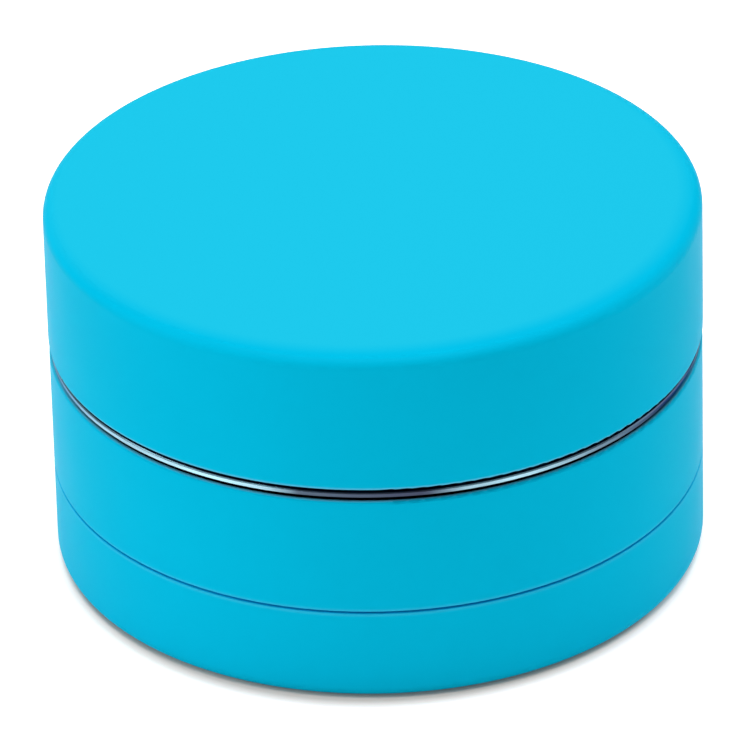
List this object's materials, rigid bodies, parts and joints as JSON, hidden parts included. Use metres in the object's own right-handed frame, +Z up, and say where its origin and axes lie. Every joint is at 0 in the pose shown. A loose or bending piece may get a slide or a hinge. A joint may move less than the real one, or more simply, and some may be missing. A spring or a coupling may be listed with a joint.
{
  "type": "pill crusher",
  "caption": "Round twist pill crusher: a magnetic toothed lid over a toothed crushing chamber that screws onto a powder base, in soft blue skins.",
  "frame": {"origin": "centre of the underside, on the axis all pieces turn about", "axes": "+Z up along the axis of rotation, from the base to the lid; X and Y are free because the outside is round"},
  "size_m": [0.0632, 0.0632, 0.0368],
  "materials": {
    "blue_silicone": "matt soft-touch silicone, sky blue",
    "turned_aluminium": "fine turned, bright",
    "tooth_steel": "ground, satin",
    "magnet_nickel": "nickel plated, polished",
    "seal_rubber": "black, matt",
    "glide_acetal": "white acetal, satin"
  },
  "bodies": {
    "base": {"base_sleeve": "blue_silicone", "base_cup": "turned_aluminium"},
    "seal": {"thread_seal": "seal_rubber"},
    "chamber": {"chamber_sleeve": "blue_silicone", "chamber_body": "turned_aluminium", "chamber_hub": "turned_aluminium", "chamber_magnet": "magnet_nickel", "chamber_teeth_inner": "tooth_steel", "chamber_teeth_middle": "tooth_steel", "chamber_teeth_outer": "tooth_steel", "lid_seal": "seal_rubber"},
    "glide": {"glide_ring": "glide_acetal"},
    "lid": {"lid_cover": "blue_silicone", "lid_core": "turned_aluminium", "lid_magnet": "magnet_nickel", "lid_teeth_inner": "tooth_steel", "lid_teeth_middle": "tooth_steel", "lid_teeth_outer": "tooth_steel"}
  },
  "joints": [
    {"name": "chamber_unscrew", "type": "hinge", "parent": "base", "child": "seal", "pos_m": [0, 0, 0.01], "axis": [0, 0, 1], "range_deg": [0, 810]},
    {"name": "chamber_rise", "type": "slide", "parent": "seal", "child": "chamber", "axis": [0, 0, 1], "range_m": [0, 0.0046]},
    {"name": "lid_lift", "type": "slide", "parent": "chamber", "child": "glide", "axis": [0, 0, 1], "range_m": [0, 0.03]},
    {"name": "lid_twist", "type": "hinge", "parent": "glide", "child": "lid", "pos_m": [0, 0, 0.0236], "axis": [0, 0, 1], "continuous": true}
  ],
  "couplings": [
    {"joint": "chamber_rise", "follows": "chamber_unscrew", "m_per_rad": 0.00031831}
  ]
}
